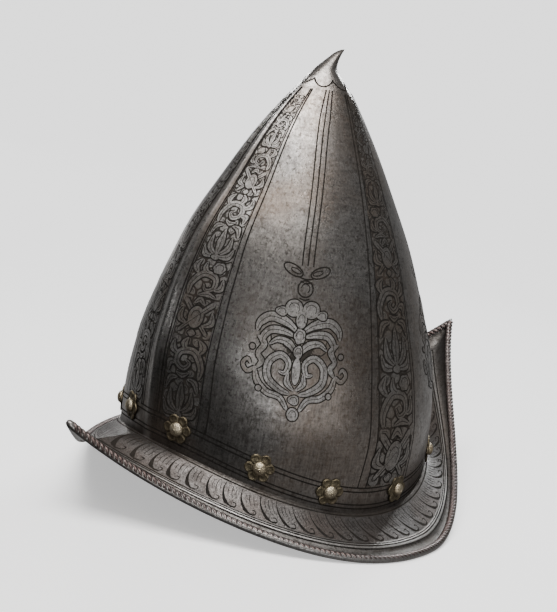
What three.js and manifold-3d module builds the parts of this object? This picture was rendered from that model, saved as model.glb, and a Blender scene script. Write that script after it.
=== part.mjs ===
// Spanish morion (pear-stalk helmet) of the late 16th century.
// Millimetres, +X to the front tip, +Y to the wearer's left, +Z up.
// The origin is on the surface that the helmet stands on, under the middle of its box.
import * as THREE from 'three';
import Module from 'manifold-3d';

// ---------- driving dimensions ----------

// skull
const SKULL_HEIGHT = 227.0;        // rivet level at the sides up to the root of the stalk
const SKULL_FRONT = 107.7;         // middle of the skull to its front ridge, at rivet level
const SKULL_REAR = 114.1;          // middle of the skull to its rear ridge, at rivet level
const SKULL_HALF_WIDTH = 94.7;     // middle of the skull to its side, at rivet level
const APEX_FORWARD = 5.8;          // the apex stands this far in front of the middle
const KEEL_BASE = 0.03;            // how sharp the ridge is at the base, 0 is a plain oval
const KEEL_TOP = 0.30;             // how sharp the ridge is from mid height up
const SIDE_POWER = 1.1;            // fullness of the quarters, 1 is a plain oval
const WALL = 1.2;                  // thickness of the plate

// stalk at the apex
const STALK_HEIGHT = 22.9;         // from its root on the skull to its tip
const STALK_ROOT_RADIUS = 14.8;
const STALK_LEAN = 14.6;           // the tip bends this far to the rear

// crease between skull and brim
const CREASE_DROP = 14.4;          // below rivet level at the sides
const CREASE_RISE = 24.8;          // how much higher it runs in front and behind

// brim, measured to the outside of the turned edge
const BRIM_FRONT = 165.6;          // middle of the brim to the front tip
const BRIM_REAR = 171.6;           // middle of the brim to the rear tip
const BRIM_HALF_WIDTH = 130.2;
const BRIM_SHIFT = 1.2;            // middle of the brim in front of the middle of the skull
const EDGE_DROP = 29.3;            // edge at the sides, below rivet level
const FRONT_TIP_RISE = 26.9;       // front tip above rivet level
const REAR_TIP_RISE = 73.3;        // rear tip above rivet level
const BRIM_WAIST = 0.51;           // how much the outline is drawn in towards the tips
const TROUGH_TIP = 8.0;            // dish of the brim along the middle line at the tips
const TROUGH_SIDE = 0.8;           // dish of the brim at the sides
const EDGE_RADIUS = 2.6;           // radius of the turned edge
const REST_FLAT = 0.32;            // the edge is worn flat by this much where it stands

// rivets and washers
const RIVET_RISE_FRONT = 27.6;     // the row runs this much higher in front
const RIVET_RISE_REAR = 24.8;      // and this much higher behind
const RIVET_LEVEL = -3.0;          // height of the row at the sides, from rivet level
const ROSETTE_RADIUS = 8.9;
const ROSETTE_VALLEY = 7.2;        // radius in the notch between two petals
const ROSETTE_THICKNESS = 0.8;
const ROSETTE_DISH = 0.9;          // how far the petals stand up between centre and tip
const PETALS = 6;
const HEAD_RADIUS = 4.1;
const HEAD_HEIGHT = 3.0;
const SHANK_RADIUS = 1.5;
const CLINCH_RADIUS = 3.2;
const CLINCH_HEIGHT = 1.0;
const GAP = 0.3;                   // clearance between neighbouring pieces

// resolution of the faceted solids
const COLUMNS = 56;
const SKULL_ROWS = 14;
const BRIM_ROWS = 4;

// ---------- tables of sections ----------

// skull sections from rivet level to the apex: share of SKULL_HEIGHT,
// then shares of SKULL_FRONT, SKULL_REAR and SKULL_HALF_WIDTH
const SKULL_SECTIONS = [
  { up: 0.00, front: 1.000, rear: 1.000, side: 1.000 },
  { up: 0.125, front: 1.012, rear: 0.976, side: 1.024 },
  { up: 0.261, front: 1.018, rear: 0.985, side: 0.965 },
  { up: 0.417, front: 0.966, rear: 0.880, side: 0.856 },
  { up: 0.574, front: 0.852, rear: 0.722, side: 0.724 },
  { up: 0.730, front: 0.652, rear: 0.508, side: 0.550 },
  { up: 0.887, front: 0.430, rear: 0.284, side: 0.340 },
  { up: 1.000, front: 0.200, rear: 0.073, side: 0.157 },
];

// brim outline from the middle to each tip: power of the outline and of the rise,
// and the share of the length over which the edge runs level
const BRIM_FORM = {
  front: { outline: 2.10, rise: 2.35, level: 0.13 },
  rear: { outline: 2.30, rise: 1.80, level: 0.13 },
};

// turned edge round its own middle: angle from the outward direction, in degrees
const EDGE_SECTION = [150, 112, 74, 36, -2, -40, -78, -116];

// places of the rivets on one side, mirrored on the other: share of the half turn from front to rear
const RIVET_PLACES = [0.081, 0.243, 0.378, 0.542, 0.728, 0.906];

// dome of the rivet head: share of HEAD_RADIUS, share of HEAD_HEIGHT
const HEAD_SECTION = [
  { out: 1.00, up: 0.12 },
  { out: 0.86, up: 0.52 },
  { out: 0.52, up: 0.86 },
];

// ---------- helpers ----------

function slopes(xs, ys) {
  const n = xs.length;
  const h = [];
  const d = [];
  for (let i = 0; i < n - 1; i++) {
    h.push(xs[i + 1] - xs[i]);
    d.push((ys[i + 1] - ys[i]) / h[i]);
  }
  const m = new Array(n).fill(0);
  for (let i = 1; i < n - 1; i++) {
    if (d[i - 1] * d[i] > 0) {
      const w1 = 2 * h[i] + h[i - 1];
      const w2 = h[i] + 2 * h[i - 1];
      m[i] = (w1 + w2) / (w1 / d[i - 1] + w2 / d[i]);
    }
  }
  m[0] = d[0];
  m[n - 1] = d[n - 2] * 1.25;
  return m;
}

// smooth curve through the rows of a table that never overshoots them
function curve(xs, ys) {
  const m = slopes(xs, ys);
  return (x) => {
    const last = xs.length - 1;
    if (x <= xs[0]) return ys[0];
    if (x >= xs[last]) return ys[last];
    let i = 0;
    while (x > xs[i + 1]) i++;
    const h = xs[i + 1] - xs[i];
    const t = (x - xs[i]) / h;
    const t2 = t * t;
    const t3 = t2 * t;
    const a = (2 * t3 - 3 * t2 + 1) * ys[i] + (t3 - 2 * t2 + t) * h * m[i];
    const b = (-2 * t3 + 3 * t2) * ys[i + 1] + (t3 - t2) * h * m[i + 1];
    return a + b;
  };
}

const UPS = SKULL_SECTIONS.map((row) => row.up);
const frontShare = curve(UPS, SKULL_SECTIONS.map((row) => row.front));
const rearShare = curve(UPS, SKULL_SECTIONS.map((row) => row.rear));
const sideShare = curve(UPS, SKULL_SECTIONS.map((row) => row.side));

// lowest point of the turned edge, taken as the surface that the helmet stands on
const FLOOR = -EDGE_DROP - EDGE_RADIUS * 0.45;
const LIFT = -FLOOR - REST_FLAT;
const MIDDLE_X = BRIM_SHIFT + (BRIM_FRONT - BRIM_REAR) / 2;

// point of the skull's outer face at azimuth t (0 is the front) and height z over rivet level
function skullPoint(t, z) {
  const up = Math.min(Math.max(z / SKULL_HEIGHT, 0), 1);
  const c = Math.cos(t);
  const s = Math.abs(Math.sin(t));
  const keel = KEEL_BASE + (KEEL_TOP - KEEL_BASE) * Math.min(up * 2, 1);
  const f = Math.sign(c) * (Math.abs(c) + keel * (1 - s)) / (1 + keel);
  const reach = f > 0 ? SKULL_FRONT * frontShare(up) : SKULL_REAR * rearShare(up);
  const x = APEX_FORWARD * up + reach * f;
  const y = SKULL_HALF_WIDTH * sideShare(up) * Math.sign(Math.sin(t)) * Math.pow(s, SIDE_POWER);
  return new THREE.Vector3(x, y, z);
}

function creaseHeight(t) {
  return -CREASE_DROP + CREASE_RISE * Math.cos(t) ** 2;
}

function rivetHeight(t) {
  const rise = Math.cos(t) > 0 ? RIVET_RISE_FRONT : RIVET_RISE_REAR;
  return RIVET_LEVEL + rise * Math.cos(t) ** 2;
}

// share of the brim's length at azimuth t: 1 is the front tip, -1 the rear tip
function brimShare(t) {
  const a = Math.abs(t > Math.PI ? t - 2 * Math.PI : t);
  return 0.75 * (1 - 2 * a / Math.PI) + 0.25 * Math.cos(a);
}

// outside of the brim edge at share s, on the side given by sign
function edgePoint(s, sign) {
  const form = s > 0 ? BRIM_FORM.front : BRIM_FORM.rear;
  const a = Math.abs(s);
  const x = BRIM_SHIFT + (s > 0 ? BRIM_FRONT : BRIM_REAR) * s;
  const y = sign * BRIM_HALF_WIDTH * (1 - a ** form.outline) * (1 - BRIM_WAIST * a * a);
  const tip = s > 0 ? FRONT_TIP_RISE : REAR_TIP_RISE;
  const b = Math.max(0, (a - form.level) / (1 - form.level));
  return new THREE.Vector3(x, y, -EDGE_DROP + (tip + EDGE_DROP) * b ** form.rise);
}

function outward(t, z) {
  const e = 0.01;
  const along = skullPoint(t + e, z).sub(skullPoint(t - e, z));
  const rise = skullPoint(t, z + 0.5).sub(skullPoint(t, z - 0.5));
  return along.cross(rise).normalize();
}

// closed body from rings of equal length, from the first ring to the last, capped by a point at each end
function ringBody(rings, first, last) {
  const n = rings[0].length;
  const points = [first];
  rings.forEach((ring) => ring.forEach((p) => points.push(p)));
  points.push(last);
  const end = points.length - 1;
  const index = [];
  for (let j = 0; j < n; j++) {
    index.push(0, 1 + j, 1 + (j + 1) % n);
  }
  for (let i = 0; i < rings.length - 1; i++) {
    for (let j = 0; j < n; j++) {
      const a = 1 + i * n + j;
      const b = 1 + i * n + (j + 1) % n;
      index.push(a, a + n, b + n, a, b + n, b);
    }
  }
  const base = 1 + (rings.length - 1) * n;
  for (let j = 0; j < n; j++) {
    index.push(end, base + (j + 1) % n, base + j);
  }
  return meshData(points, index);
}

// closed body whose rings run round a hole and meet again at the start
function loopBody(rings) {
  const n = rings[0].length;
  const points = rings.flat();
  const index = [];
  for (let i = 0; i < rings.length; i++) {
    const k = (i + 1) % rings.length;
    for (let j = 0; j < n; j++) {
      const a = i * n + j;
      const b = i * n + (j + 1) % n;
      const c = k * n + j;
      const d = k * n + (j + 1) % n;
      index.push(a, c, d, a, d, b);
    }
  }
  return meshData(points, index);
}

function meshData(points, index) {
  const position = new Float32Array(points.length * 3);
  points.forEach((p, i) => p.toArray(position, i * 3));
  const geometry = new THREE.BufferGeometry();
  geometry.setAttribute('position', new THREE.BufferAttribute(position, 3));
  geometry.setIndex(index);
  return geometry;
}

const wasm = await Module();
wasm.setup();

function toSolid(geometry) {
  const mesh = new wasm.Mesh({
    numProp: 3,
    vertProperties: new Float32Array(geometry.attributes.position.array),
    triVerts: new Uint32Array(geometry.index.array),
  });
  return new wasm.Manifold(mesh);
}

function fromSolid(solid) {
  const mesh = solid.getMesh();
  const geometry = new THREE.BufferGeometry();
  geometry.setAttribute('position', new THREE.BufferAttribute(new Float32Array(mesh.vertProperties), 3));
  geometry.setIndex(Array.from(mesh.triVerts));
  return geometry;
}

// ---------- shell ----------

// stalk above its root: share of STALK_HEIGHT, share of STALK_ROOT_RADIUS, share of STALK_LEAN
const STALK_SECTIONS = [
  { up: 0.245, wide: 0.690, lean: 0.03 },
  { up: 0.440, wide: 0.424, lean: 0.10 },
  { up: 0.607, wide: 0.300, lean: 0.27 },
  { up: 0.747, wide: 0.222, lean: 0.45 },
  { up: 0.886, wide: 0.148, lean: 0.66 },
  { up: 0.975, wide: 0.070, lean: 0.88 },
];

function columnAngle(j) {
  return j * 2 * Math.PI / COLUMNS;
}

// outer rings of the skull from the crease up
function skullRings() {
  const rings = [];
  for (let i = 0; i <= SKULL_ROWS; i++) {
    const v = i / SKULL_ROWS;
    const ring = [];
    for (let j = 0; j < COLUMNS; j++) {
      const t = columnAngle(j);
      const base = creaseHeight(t);
      ring.push(skullPoint(t, base + (SKULL_HEIGHT - base) * v));
    }
    rings.push(ring);
  }
  return rings;
}

// middle of the skull's top section, where the stalk begins
function stalkRoot() {
  return (skullPoint(0, SKULL_HEIGHT).x + skullPoint(Math.PI, SKULL_HEIGHT).x) / 2;
}

function stalkRings() {
  return STALK_SECTIONS.map((row) => {
    const radius = STALK_ROOT_RADIUS * row.wide;
    const ring = [];
    for (let j = 0; j < COLUMNS; j++) {
      const t = columnAngle(j);
      const x = stalkRoot() - STALK_LEAN * row.lean + radius * Math.cos(t);
      ring.push(new THREE.Vector3(x, radius * Math.sin(t), SKULL_HEIGHT + STALK_HEIGHT * row.up));
    }
    return ring;
  });
}

// one brim section per column: middle of the plate from the crease to the turned edge
function brimColumn(j) {
  const t = columnAngle(j);
  const sign = Math.sin(t) >= 0 ? 1 : -1;
  const s = brimShare(t);
  const edge = edgePoint(s, sign);
  const crease = skullPoint(t, creaseHeight(t));
  const step = 0.01;
  const before = edgePoint(Math.min(1, s + step), sign);
  const after = edgePoint(Math.max(-1, s - step), sign);
  const along = after.sub(before).normalize();
  const reach = edge.clone().sub(crease);
  const flat = new THREE.Vector3(reach.x, reach.y, 0).normalize();
  const tipLine = j === 0 || j === COLUMNS / 2;
  const turn = Math.abs(flat.x * along.y - flat.y * along.x) / Math.hypot(along.x, along.y);
  const width = EDGE_RADIUS / Math.max(turn, 0.55);
  const near = Math.abs(s) ** 4;
  const trough = TROUGH_SIDE + (TROUGH_TIP - TROUGH_SIDE) * near;
  const power = 1 + 1.6 * near;
  const deepest = power / (power + 1);
  const full = deepest ** power * (1 - deepest);
  const place = (v) => {
    const p = crease.clone().addScaledVector(reach, v);
    p.z -= trough * v ** power * (1 - v) / full;
    return p;
  };
  const total = reach.length();
  const stop = 1 - width / total;
  const end = place(stop);
  const down = place(stop - 0.08);
  const run = end.clone().sub(down).normalize();
  const centre = edge.clone().addScaledVector(run, -width);
  const side = tipLine ? new THREE.Vector3(0, flat.x > 0 ? 1 : -1, 0) : new THREE.Vector3(-flat.y, flat.x, 0);
  const up = run.clone().cross(side).normalize();
  return { place, stop, centre, run, up, width, crease };
}

function shellBody() {
  const columns = [];
  for (let j = 0; j < COLUMNS; j++) {
    columns.push(brimColumn(j));
  }
  const skull = skullRings();
  const inner = innerSkullRings(skull);
  const rings = [];
  stalkRings().reverse().forEach((ring) => rings.push(ring));
  skull.slice().reverse().forEach((ring) => rings.push(ring));
  const half = WALL / 2;
  for (let i = 1; i <= BRIM_ROWS; i++) {
    rings.push(columns.map((c) => brimFace(c, i / (BRIM_ROWS + 0.35), half)));
  }
  EDGE_SECTION.forEach((degrees) => {
    rings.push(columns.map((c) => edgeFace(c, degrees)));
  });
  for (let i = BRIM_ROWS; i >= 1; i--) {
    rings.push(columns.map((c) => brimFace(c, i / (BRIM_ROWS + 0.35), -half)));
  }
  inner.forEach((ring) => rings.push(ring));
  const tip = new THREE.Vector3(stalkRoot() - STALK_LEAN, 0, SKULL_HEIGHT + STALK_HEIGHT);
  const roof = inner[inner.length - 1];
  const inside = new THREE.Vector3();
  roof.forEach((p) => inside.addScaledVector(p, 1 / COLUMNS));
  inside.z += 0.6;
  return ringBody(rings, tip, inside);
}

// face of the brim plate at share v of its width, raised by h along the plate's own normal
function brimFace(column, v, h) {
  const at = v * column.stop;
  const p = column.place(at);
  const ahead = column.place(at + 0.02).sub(column.place(at - 0.02)).normalize();
  const side = column.up.clone().cross(column.run);
  const up = ahead.clone().cross(side).normalize();
  if (up.z < 0) up.negate();
  return p.addScaledVector(up, h);
}

function edgeFace(column, degrees) {
  const a = degrees * Math.PI / 180;
  const p = column.centre.clone();
  p.addScaledVector(column.run, Math.cos(a) * column.width);
  p.addScaledVector(column.up, Math.sin(a) * EDGE_RADIUS);
  p.z = Math.max(p.z, FLOOR + REST_FLAT);
  return p;
}

// inner rings of the skull, one wall inside the outer ones, from the crease up
function innerSkullRings(skull) {
  const rings = [];
  const top = SKULL_ROWS - 1;
  for (let i = 0; i <= top; i++) {
    const ring = [];
    for (let j = 0; j < COLUMNS; j++) {
      const t = columnAngle(j);
      const p = skull[i][j];
      const n = outward(t, Math.min(p.z, SKULL_HEIGHT * 0.98));
      const q = p.clone().addScaledVector(n, -WALL);
      if (i === 0) q.z -= WALL * 0.6;
      ring.push(q);
    }
    rings.push(ring);
  }
  return rings;
}

// ---------- rivets and washers ----------

function rivetFrame(place, sign) {
  const t = sign * place * Math.PI;
  const z = rivetHeight(t);
  const centre = skullPoint(t, z);
  const out = outward(t, z);
  const side = new THREE.Vector3(0, 0, 1).cross(out).normalize();
  const up = out.clone().cross(side).normalize();
  return { t, z, centre, out, side, up };
}

function shankHole(frame) {
  const radius = SHANK_RADIUS + GAP;
  const hole = new THREE.CylinderGeometry(radius, radius, WALL * 8, 12);
  const turn = new THREE.Matrix4().makeBasis(frame.side, frame.out, frame.side.clone().cross(frame.out));
  turn.setPosition(frame.centre);
  hole.applyMatrix4(turn);
  return weld(hole);
}

function weld(geometry) {
  const position = geometry.attributes.position;
  const seen = new Map();
  const points = [];
  const remap = [];
  for (let i = 0; i < position.count; i++) {
    const p = new THREE.Vector3().fromBufferAttribute(position, i);
    const key = [p.x, p.y, p.z].map((v) => Math.round(v * 1e4)).join(',');
    if (!seen.has(key)) {
      seen.set(key, points.length);
      points.push(p);
    }
    remap.push(seen.get(key));
  }
  const index = [];
  const source = geometry.index.array;
  for (let i = 0; i < source.length; i += 3) {
    const a = remap[source[i]];
    const b = remap[source[i + 1]];
    const c = remap[source[i + 2]];
    if (a !== b && b !== c && a !== c) index.push(a, b, c);
  }
  return meshData(points, index);
}

// a point at (a, b) in the tangent plane of a rivet, let down on to the skull and raised by h
function onSkull(frame, a, b, h) {
  const flat = frame.centre.clone().addScaledVector(frame.side, a).addScaledVector(frame.up, b);
  let drop = 0;
  for (let i = 0; i < 4; i++) {
    const p = flat.clone().addScaledVector(frame.out, -drop);
    const reach = Math.hypot(p.x / SKULL_FRONT, p.y / SKULL_HALF_WIDTH);
    const t = Math.atan2(p.y / SKULL_HALF_WIDTH, p.x / SKULL_FRONT);
    let best = t;
    for (let k = 0; k < 6; k++) {
      const q = skullPoint(best, p.z);
      const cross = Math.atan2(p.y, p.x) - Math.atan2(q.y, q.x);
      best += Math.atan2(Math.sin(cross), Math.cos(cross));
    }
    const q = skullPoint(best, p.z);
    drop += p.sub(q).dot(outward(best, q.z)) * (reach > 0 ? 1 : 0);
  }
  return flat.addScaledVector(frame.out, h - drop);
}

function rosetteBody(frame) {
  const samples = PETALS * 4;
  const bore = SHANK_RADIUS + GAP;
  const ring = (share, h) => {
    const points = [];
    for (let i = 0; i < samples; i++) {
      const a = i * 2 * Math.PI / samples;
      const petal = 0.5 + 0.5 * Math.cos(PETALS * a);
      const outer = ROSETTE_VALLEY + (ROSETTE_RADIUS - ROSETTE_VALLEY) * petal ** 0.6;
      const r = bore + (outer - bore) * share;
      points.push(onSkull(frame, r * Math.cos(a), r * Math.sin(a), h));
    }
    return points;
  };
  const low = GAP;
  const high = GAP + ROSETTE_THICKNESS;
  const seat = (HEAD_RADIUS + GAP - bore) / (ROSETTE_VALLEY - bore);
  const dish = seat + (1 - seat) * 0.5;
  const top = [ring(0, high), ring(seat, high), ring(dish, high + ROSETTE_DISH), ring(1, high)];
  const rings = [ring(0, low), ...top, ring(1, low)];
  return loopBody(rings);
}

function rivetBody(frame) {
  const samples = 12;
  const seat = 2 * GAP + ROSETTE_THICKNESS;
  const under = -WALL - GAP;
  const ring = (r, h) => {
    const points = [];
    for (let i = 0; i < samples; i++) {
      const a = i * 2 * Math.PI / samples;
      const p = frame.centre.clone();
      p.addScaledVector(frame.side, r * Math.cos(a));
      p.addScaledVector(frame.up, r * Math.sin(a));
      points.push(p.addScaledVector(frame.out, h));
    }
    return points;
  };
  const at = (h) => frame.centre.clone().addScaledVector(frame.out, h);
  const dome = HEAD_SECTION.slice().reverse().map((row) => {
    return ring(HEAD_RADIUS * row.out, seat + HEAD_HEIGHT * row.up);
  });
  const neck = [ring(SHANK_RADIUS, seat + 0.02), ring(SHANK_RADIUS, under)];
  const clinch = [ring(CLINCH_RADIUS, under - 0.25), ring(CLINCH_RADIUS * 0.8, under - CLINCH_HEIGHT)];
  const rings = [...dome, ...neck, ...clinch];
  return ringBody(rings, at(seat + HEAD_HEIGHT), at(under - CLINCH_HEIGHT - 0.1));
}

// ---------- materials ----------

const steel = new THREE.MeshStandardMaterial({ name: 'patinated_steel', color: 0x5c554e, roughness: 0.38, metalness: 0.9 });
const brass = new THREE.MeshStandardMaterial({ name: 'old_brass', color: 0xa98f58, roughness: 0.45, metalness: 0.9 });
const iron = new THREE.MeshStandardMaterial({ name: 'rivet_metal', color: 0x8c7d5c, roughness: 0.45, metalness: 0.9 });

// ---------- assembly ----------

const helmet = new THREE.Group();
helmet.position.set(-MIDDLE_X, 0, LIFT);

function addPiece(name, geometry, material) {
  const mesh = new THREE.Mesh(geometry, material);
  mesh.name = name;
  helmet.add(mesh);
}

const rivetFrames = [];
RIVET_PLACES.forEach((place) => rivetFrames.push(rivetFrame(place, 1)));
RIVET_PLACES.slice().reverse().forEach((place) => rivetFrames.push(rivetFrame(place, -1)));

let shell = toSolid(shellBody());
rivetFrames.forEach((frame) => {
  shell = shell.subtract(toSolid(shankHole(frame)));
});
addPiece('helmet_shell', fromSolid(shell), steel);

rivetFrames.forEach((frame, k) => {
  const tag = String(k + 1).padStart(2, '0');
  addPiece('rosette_' + tag, rosetteBody(frame), brass);
  addPiece('rivet_' + tag, rivetBody(frame), iron);
});

const part = new THREE.Group();
part.add(helmet);

export default part;
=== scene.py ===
import math

import bpy
import numpy as np
from bpy.props import FloatProperty, FloatVectorProperty, IntProperty, PointerProperty
from mathutils import Matrix, Vector


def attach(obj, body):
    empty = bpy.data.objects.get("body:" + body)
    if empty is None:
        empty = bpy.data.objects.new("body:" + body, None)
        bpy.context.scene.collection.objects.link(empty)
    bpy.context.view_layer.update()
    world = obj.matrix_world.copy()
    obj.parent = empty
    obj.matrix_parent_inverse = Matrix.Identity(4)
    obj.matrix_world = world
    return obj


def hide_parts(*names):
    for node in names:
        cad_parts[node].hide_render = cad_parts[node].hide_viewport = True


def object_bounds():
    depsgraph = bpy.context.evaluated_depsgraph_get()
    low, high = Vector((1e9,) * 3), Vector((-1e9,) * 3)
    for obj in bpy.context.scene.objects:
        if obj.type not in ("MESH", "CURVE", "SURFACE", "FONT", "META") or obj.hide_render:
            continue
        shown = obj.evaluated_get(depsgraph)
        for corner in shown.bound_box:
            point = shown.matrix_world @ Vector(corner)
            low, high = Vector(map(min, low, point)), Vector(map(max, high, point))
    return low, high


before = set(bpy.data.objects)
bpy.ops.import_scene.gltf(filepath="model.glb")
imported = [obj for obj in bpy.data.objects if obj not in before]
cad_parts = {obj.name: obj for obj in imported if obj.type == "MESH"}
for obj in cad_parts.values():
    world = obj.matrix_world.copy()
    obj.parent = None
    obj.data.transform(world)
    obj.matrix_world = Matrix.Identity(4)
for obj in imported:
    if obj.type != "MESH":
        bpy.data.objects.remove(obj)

bl_info = {
    "name": "Spanish morion",
    "version": (1, 0, 0),
    "blender": (4, 5, 0),
    "location": "View3D > Sidebar > Morion",
    "description": "Dresses a packed steel morion: plate, turned edge, engraving, rosettes and rivets",
    "category": "Object",
}

CAD_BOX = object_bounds()
NODES = sorted(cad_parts)
MM = 0.001

# ---------- form of the helmet, in millimetres over rivet level ----------

SKULL_HEIGHT = 227.0
SKULL_FRONT = 107.7
SKULL_REAR = 114.1
SKULL_HALF_WIDTH = 94.7
APEX_FORWARD = 5.8
KEEL_BASE = 0.03
KEEL_TOP = 0.30
SIDE_POWER = 1.1
WALL = 1.2
STALK_HEIGHT = 22.9
STALK_ROOT_RADIUS = 14.8
STALK_LEAN = 14.6
CREASE_DROP = 14.4
CREASE_RISE = 24.8
BRIM_FRONT = 165.6
BRIM_REAR = 171.6
BRIM_HALF_WIDTH = 130.2
BRIM_SHIFT = 1.2
EDGE_DROP = 29.3
FRONT_TIP_RISE = 26.9
REAR_TIP_RISE = 73.3
BRIM_WAIST = 0.51
TROUGH_TIP = 8.0
TROUGH_SIDE = 0.8
EDGE_RADIUS = 2.6
REST_FLAT = 0.32
RIVET_RISE_FRONT = 27.6
RIVET_RISE_REAR = 24.8
RIVET_LEVEL = -3.0
ROSETTE_RADIUS = 8.9
ROSETTE_THICKNESS = 0.8
HEAD_RADIUS = 4.1
HEAD_HEIGHT = 3.0
SHANK_RADIUS = 1.5
CLINCH_RADIUS = 3.2
CLINCH_HEIGHT = 1.0
GAP = 0.3
RIVET_PLACES = (0.081, 0.243, 0.378, 0.542, 0.728, 0.906)

# share of the height, then shares of the front, rear and side of the skull
SKULL_SECTIONS = np.array((
    (0.000, 1.000, 1.000, 1.000),
    (0.125, 1.012, 0.976, 1.024),
    (0.261, 1.018, 0.985, 0.965),
    (0.417, 0.966, 0.880, 0.856),
    (0.574, 0.852, 0.722, 0.724),
    (0.730, 0.652, 0.508, 0.550),
    (0.887, 0.430, 0.284, 0.340),
    (1.000, 0.200, 0.073, 0.157),
))

# share of the stalk's height, of its root radius and of its lean
STALK_SECTIONS = np.array((
    (0.000, 1.000, 0.00),
    (0.245, 0.690, 0.03),
    (0.440, 0.424, 0.10),
    (0.607, 0.300, 0.27),
    (0.747, 0.222, 0.45),
    (0.886, 0.148, 0.66),
    (0.975, 0.070, 0.88),
))

FLOOR = -EDGE_DROP - EDGE_RADIUS * 0.45
LIFT = -FLOOR - REST_FLAT
MIDDLE_X = BRIM_SHIFT + (BRIM_FRONT - BRIM_REAR) / 2
SHIFT = np.array((-MIDDLE_X, 0.0, LIFT))


def circle(count):
    """Angles of count points round a full turn."""
    return np.arange(count) * 2 * math.pi / count


def hoop(angle, radius, height, x=0.0):
    return np.stack((x + radius * np.cos(angle), radius * np.sin(angle), height + 0 * angle), -1)


def smooth_rows(table, column, x):
    """Value at x of a smooth curve through a column of a table that never overshoots its rows."""
    xs, ys = table[:, 0], table[:, column]
    h = np.diff(xs)
    d = np.diff(ys) / h
    m = np.zeros(len(xs))
    for i in range(1, len(xs) - 1):
        if d[i - 1] * d[i] > 0:
            w1 = 2 * h[i] + h[i - 1]
            w2 = h[i] + 2 * h[i - 1]
            m[i] = (w1 + w2) / (w1 / d[i - 1] + w2 / d[i])
    m[0] = d[0]
    m[-1] = d[-1] * 1.25
    x = np.clip(x, xs[0], xs[-1])
    i = np.clip(np.searchsorted(xs, x, side="right") - 1, 0, len(xs) - 2)
    t = (x - xs[i]) / h[i]
    a = (2 * t**3 - 3 * t**2 + 1) * ys[i] + (t**3 - 2 * t**2 + t) * h[i] * m[i]
    return a + (-2 * t**3 + 3 * t**2) * ys[i + 1] + (t**3 - t**2) * h[i] * m[i + 1]


def skull_point(t, z):
    """Point of the skull's outer face at azimuth t, 0 in front, and height z over rivet level."""
    t, z = np.broadcast_arrays(np.asarray(t, float), np.asarray(z, float))
    up = np.clip(z / SKULL_HEIGHT, 0, 1)
    c, s = np.cos(t), np.abs(np.sin(t))
    keel = KEEL_BASE + (KEEL_TOP - KEEL_BASE) * np.minimum(up * 2, 1)
    f = np.sign(c) * (np.abs(c) + keel * (1 - s)) / (1 + keel)
    share = [smooth_rows(SKULL_SECTIONS, k, up) for k in (1, 2, 3)]
    reach = np.where(f > 0, SKULL_FRONT * share[0], SKULL_REAR * share[1])
    x = APEX_FORWARD * up + reach * f
    y = SKULL_HALF_WIDTH * share[2] * np.sign(np.sin(t)) * s**SIDE_POWER
    return np.stack((x, y, z), -1)


def unit(v):
    return v / np.maximum(np.linalg.norm(v, axis=-1, keepdims=True), 1e-12)


def skull_normal(t, z):
    e = 0.01
    along = skull_point(t + e, z) - skull_point(t - e, z)
    rise = skull_point(t, z + 0.5) - skull_point(t, z - 0.5)
    return unit(np.cross(along, rise))


def on_skull(t, z, h=0.0):
    """Point h outside the skull."""
    h = np.asarray(h, float)
    return skull_point(t, z) + skull_normal(t, z) * h[..., None]


def arc(t, z):
    """Millimetres per radian round the skull."""
    return np.linalg.norm(skull_point(t + 0.01, z) - skull_point(t - 0.01, z), axis=-1) / 0.02


def taper(z):
    """Share of its full width that an ornament has at height z."""
    return np.clip((SKULL_HEIGHT - z) / SKULL_HEIGHT + 0.22, 0, 1)


def bump(x, middle, width, power=2):
    """Smooth hump of height 1 round the middle."""
    return np.exp(-np.abs((x - middle) / width) ** power)


def crease_height(t):
    return -CREASE_DROP + CREASE_RISE * np.cos(t) ** 2


def rivet_height(t):
    return RIVET_LEVEL + np.where(np.cos(t) > 0, RIVET_RISE_FRONT, RIVET_RISE_REAR) * np.cos(t) ** 2


def edge_point(s, sign):
    """Outside of the turned edge at share s of the length, 1 at the front tip and -1 at the rear one."""
    a = np.abs(s)
    front = s > 0
    outline = np.where(front, 2.10, 2.30)
    rise = np.where(front, 2.35, 1.80)
    x = BRIM_SHIFT + np.where(front, BRIM_FRONT, BRIM_REAR) * s
    y = sign * BRIM_HALF_WIDTH * (1 - a**outline) * (1 - BRIM_WAIST * a * a)
    tip = np.where(front, FRONT_TIP_RISE, REAR_TIP_RISE)
    b = np.maximum(0, (a - 0.13) / 0.87)
    return np.stack((x, y, -EDGE_DROP + (tip + EDGE_DROP) * b**rise), -1)


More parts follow.
